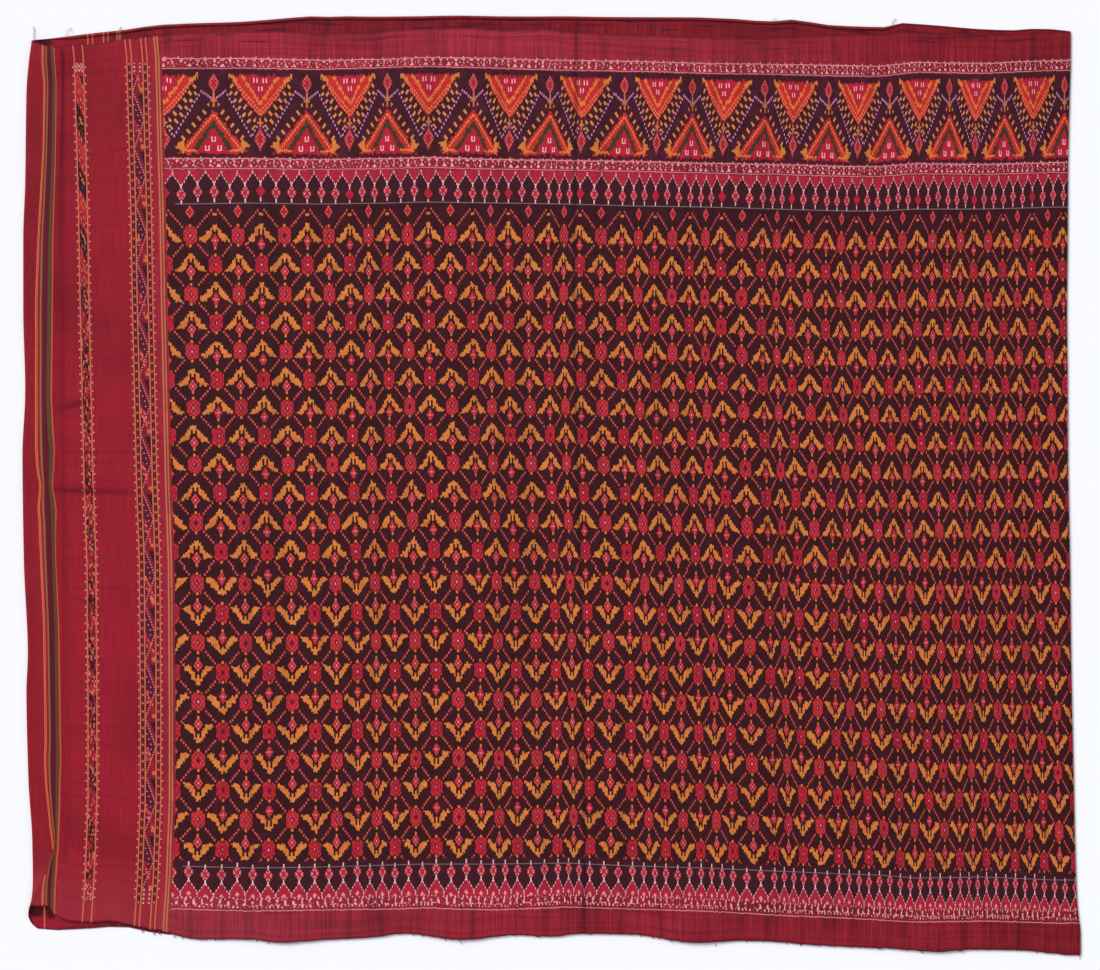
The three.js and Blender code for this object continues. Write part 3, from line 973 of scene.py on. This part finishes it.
# painted shadow on the back layer's inside, in the open corners of the mouths under the front's lifted
# rims
for hollow_off, hollow_down, half_wide, half_tall in (
    (-82, 912, 8.5, 6.5),
    (-67.5, 911, 7, 10),
    (-77, 42.5, 13, 4.5),
):
    wide = (off - hollow_off) / half_wide
    tall = (down - hollow_down) / half_tall
    hollow = (wide * wide + tall * tall).ramp(1, 0.45)
    tone.lay((44, 8, 18), hollow * on_back * 0.85)
warp_thread = ((weft * WARP_THREADS).part() - 0.5).size()
weft_thread = ((length * WEFT_THREADS).part() - 0.5).size()
give(silk, out, Colour=tone, Streak=slub * 0.6 + bar * 0.4, Relief=warp_thread + weft_thread)


# Lines pressed into the cloth beside the seam, with painted shade along them and in the drags, where
# the folds fall into shadow.
crease_shading, (off, down), out = new_group("painted crease shade", "Off Down", "Shade")
shades = []
# middle, lean, from, to, half width, strength
for middle, lean, first, last, half, strength in (
    (452.6, 0, -112, -30, 0.8, 0.4),
    (491.5, 0.04, -112, -30, 4.4, 0.5),
    (404, -0.35, -109, -72, 6, 0.5),
    (418.5, 0, -76, -36, 0.7, 0.3),
    (148, 0.06, -104, 0, 0.7, 0.25),
    (604, 0.5, -100, -60, 4, 0.25),
    (843, 1.6, -104, -88, 3.5, 0.35),
):
    across = (off - (first + last) / 2).size().ramp((last - first) / 2, (last - first) / 2 - 12)
    line = (off * -lean + down - (middle - lean * (first + last) / 2)).size().ramp(half, half * 0.15)
    shades.append(line * across * strength)
give(crease_shading, out, Shade=reduce(Value.most, shades))


def add_material(name, shape):
    """A new material on a mesh or curve: its nodes, and its shader's inputs."""
    material = bpy.data.materials.new(name)
    material.use_nodes = True
    shape.materials.append(material)
    return material.node_tree, material.node_tree.nodes["Principled BSDF"].inputs


def silk_finish(name, shows):
    """The silk's material for one part of the cloth, with only the patterns that it shows."""
    tree, shader = add_material(name, cloth_mesh)

    def map_values(map_name):
        source = tree.nodes.new("ShaderNodeUVMap")
        source.uv_map = map_name
        split = tree.nodes.new("ShaderNodeSeparateXYZ")
        tree.links.new(source.outputs[0], split.inputs[0])
        return Value(tree, split.outputs[0]), Value(tree, split.outputs[1])

    length, weft = map_values("Threads")
    off, down = (value * 1000 for value in map_values("Ends"))
    ground = placed(tree, silk, Length=length, Weft=weft, Off=off, Down=down)
    colour = Tone(tree, ground["Colour"])
    if shows != {"ends"}:
        axis, depth = map_values("Chart")
        depth = depth * 1000
        dyed = placed(tree, resist, Axis=axis, Depth=depth)
        stepped, slipped, even = dyed.values()
        on_field = off.over(4.5)

        def bead_row(group, shift, at_depth, low, high):
            """Lay the white beads of a chain that starts at a depth, between two depths."""
            beads = placed(tree, group, Raw=axis + shift, Depth=even - at_depth)
            colour.lay(BEAD_WHITE, beads["Beads"] * (depth.between(low, high) * on_field))

    if "field" in shows:
        woven = placed(tree, field, Axis=stepped, Raw=axis, Depth=slipped, Even=even)
        if shows == {"field"}:
            colour = Tone(tree, woven["Colour"])
        else:
            colour.lay(woven["Colour"], depth.between(203.2, 865.5) * on_field)
    if "waist" in shows:
        bead_row(chain, 0, 57.4, 55.5, 69.2)
        border = placed(tree, triangles, Axis=stepped, Raw=axis, Depth=slipped, Even=even)
        colour.lay(border["Colour"], even.between(69.4, 157) * on_field)
        bead_row(chain, 0.08, 157.6, 156.2, 169.4)
        drops = placed(tree, pendants, Raw=axis, Even=even, Blobs=0)
        colour.lay(drops["Colour"], depth.between(170, 203.2) * on_field)
    if "hem" in shows:
        drops = placed(tree, pendants, Raw=axis, Even=1067 - even, Blobs=1)
        colour.lay(drops["Colour"], depth.between(862, 898.5) * on_field)
        bead_row(ticks, 0, 898.9, 897.5, 913)
    if len(shows) > 1:
        grey_line = depth.between(202.6, 203.5).most(depth.between(867.6, 868.4))
        colour.lay((150, 128, 132), grey_line * off.over(14) * 0.6)
    if "ends" in shows:
        borders = placed(tree, ends, Off=off, Down=down, Back=length.over(HALF_ROUND / 1000))
        colour.lay(borders["Colour"], borders["Cover"])
        # painted shade along the creases and drags beside the seam
        pressed = placed(tree, crease_shading, Off=off, Down=down)
        colour.lay((64, 6, 24), pressed["Shade"])
    streak = ground["Streak"]
    if shows != {"ends"}:
        colour.lay((24, 8, 12), streak.ramp(0.45, 0.8) * 0.35)
        colour.lay((24, 8, 12), length.ramp(0.3, 1.1) * 0.12)
        # darker in long soft bands down the field, and painted shade along the pressed line in the
        # middle of the cloth
        darker_weft_bands = cloudy(tree, axis * 3.3, weft * 1.4, 1).ramp(0.5, 0.75) * 0.22
        pressed_line_shade = (axis - 9.83).size().ramp(0.1, 0.03) * 0.5
        colour.lay((20, 6, 12), darker_weft_bands.most(pressed_line_shade))
    bump = tree.nodes.new("ShaderNodeBump")
    give(tree, bump.inputs, Strength=0.12, Distance=0.00015, Height=ground["Relief"])
    tree.links.new(bump.outputs[0], shader["Normal"])
    roughness = streak.ramp(0.2, 0.8) * 0.14 + 0.52
    give(tree, shader, Base_Color=colour, Roughness=roughness, Specular_IOR_Level=0.12)


BEAD_WHITE = (242, 166, 172)
silk_finish("silk_field_edges", {"field", "waist", "hem", "ends"})
silk_finish("silk_field", {"field"})
silk_finish("silk_end_borders", {"ends"})
silk_finish("silk_waist_side", {"waist"})
silk_finish("silk_hem_side", {"hem"})

# Each face takes its place's finish, or the first where patterns meet.
chart_layer = cloth_mesh.uv_layers["Chart"].data
ends_layer = cloth_mesh.uv_layers["Ends"].data
for polygon in cloth_mesh.polygons:
    corners = polygon.loop_indices
    depths = [chart_layer[k].uv.y for k in corners]
    offs = [ends_layer[k].uv.x for k in corners]
    clear_of_ends = min(offs) > 0.015
    if max(offs) < 0.003:
        polygon.material_index = 2
    elif clear_of_ends and min(depths) > 0.208 and max(depths) < 0.856:
        polygon.material_index = 1
    elif clear_of_ends and max(depths) < 0.2024:
        polygon.material_index = 3
    elif clear_of_ends and min(depths) > 0.87:
        polygon.material_index = 4


# Loose thread ends that stand off the worn rims, each a single ply of the same silk.
THREAD_ENDS = [
    ("top left corner", [(34, 40), (33, 34), (34.5, 30), (33, 26.5)], 0.28),
    ("curl at the mouth", [(66, 36), (67, 30), (70, 27.5), (72, 29.5), (70.5, 31)], 0.16),
    ("stub at the border", [(119, 31), (120, 28), (120.5, 26.5)], 0.3),
    ("right of the middle", [(772, 22), (773.5, 19), (776, 17.6)], 0.2),
    ("hair at the nick", [(893, 26), (892.5, 22), (894.5, 19.5), (897, 19)], 0.25),
    ("hem hair", [(458, 939), (460, 943), (463, 944.5)], 0.2),
    ("hem hair right", [(716, 941), (714.5, 945), (716, 947)], 0.2),
    ("hem corner hair", [(1078, 953), (1081, 957), (1080, 960)], 0.22),
]
for k in range(90):
    nib_at = 142 + 10.4 * (k + noise.noise(Vector((k * 0.71, 3, 0))))
    nib_edge = max(
        read_table(RIMS, 4 - turn, nib_at) + ragged("hem", nib_at, turn) for turn in (0, 1)
    )
    nib_lean = 0.8 * noise.noise(Vector((k * 0.93, 8, 0)))
    nib_tip = nib_edge + 0.6 + 1.5 * noise.noise(Vector((k * 1.37, 5, 0)))
    places = [(nib_at, nib_edge - 3), (nib_at, nib_edge - 1), (nib_at + nib_lean, nib_tip)]
    THREAD_ENDS.append(("hem nib", places, 0.45))
thread_curve = bpy.data.curves.new("loose_thread_ends", "CURVE")
thread_curve.dimensions = "3D"
thread_curve.bevel_depth = 0.0002
thread_curve.bevel_resolution = 1
thread_curve.resolution_u = 4
for _, places, thickness in THREAD_ENDS:
    spline = thread_curve.splines.new("NURBS")
    spline.points.add(len(places) - 1)
    for point, (across, down_place) in zip(spline.points, places):
        point.co = ((across - CENTRE_ACROSS) / 1000, (CENTRE_DOWN - down_place) / 1000, 0.0012, 1)
        point.radius = thickness / 0.2
    spline.use_endpoint_u = True
    spline.order_u = 3
thread_ends = add_object("loose_thread_ends", thread_curve)
thread_tree, thread_shader = add_material("loose_silk_thread", thread_curve)
thread_place = thread_tree.nodes.new("ShaderNodeTexCoord")
thread_noise = thread_tree.nodes.new("ShaderNodeTexNoise")
thread_noise.inputs["Scale"].default_value = 900
thread_tree.links.new(thread_place.outputs["Object"], thread_noise.inputs["Vector"])
thread_mottle = Value(thread_tree, thread_noise.outputs[0])
thread_tone = Tone(thread_tree, (150, 50, 60)).lay((96, 30, 44), thread_mottle)
give(thread_tree, thread_shader, Base_Color=thread_tone, Roughness=0.6)

for piece in (cloth, thread_ends):
    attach(piece, "root")
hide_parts("skirt_cloth")


# The pale table that the skirt is laid out on, and soft studio light from the upper left.
surface = bmesh.new()
bmesh.ops.create_grid(surface, x_segments=1, y_segments=1, size=6)
surface_mesh = bpy.data.meshes.new("pale_table")
surface.to_mesh(surface_mesh)
surface.free()
table = add_object("pale_table", surface_mesh)
table.location.z = -0.0002
table_tree, table_shader = add_material("pale_table", surface_mesh)
give(table_tree, table_shader, Base_Color=dye(243, 244, 248), Roughness=0.9, Specular_IOR_Level=0.1)

world = bpy.data.worlds.new("studio")
world.use_nodes = True
backdrop = world.node_tree.nodes["Background"].inputs
give(world.node_tree, backdrop, Color=(0.97, 0.98, 1, 1), Strength=0.52)
scene.world = world

key_light = bpy.data.lights.new("key", "SUN")
key_light.energy = 2.75
key_light.angle = math.radians(28)
key = add_object("key", key_light)
key.location = (-1.7, 1.5, 1.9)
key.rotation_euler = (-key.location).to_track_quat("-Z", "Y").to_euler()

camera_data = bpy.data.cameras.new("camera")
camera_data.lens = 85
camera_data.sensor_width = 36
camera = add_object("camera", camera_data)
camera.location = (-0.00165, 0.00037, 1.10 * 85 / 36 + 0.0028)
scene.camera = camera
scene.view_settings.view_transform = "Standard"

bpy.context.view_layer.update()
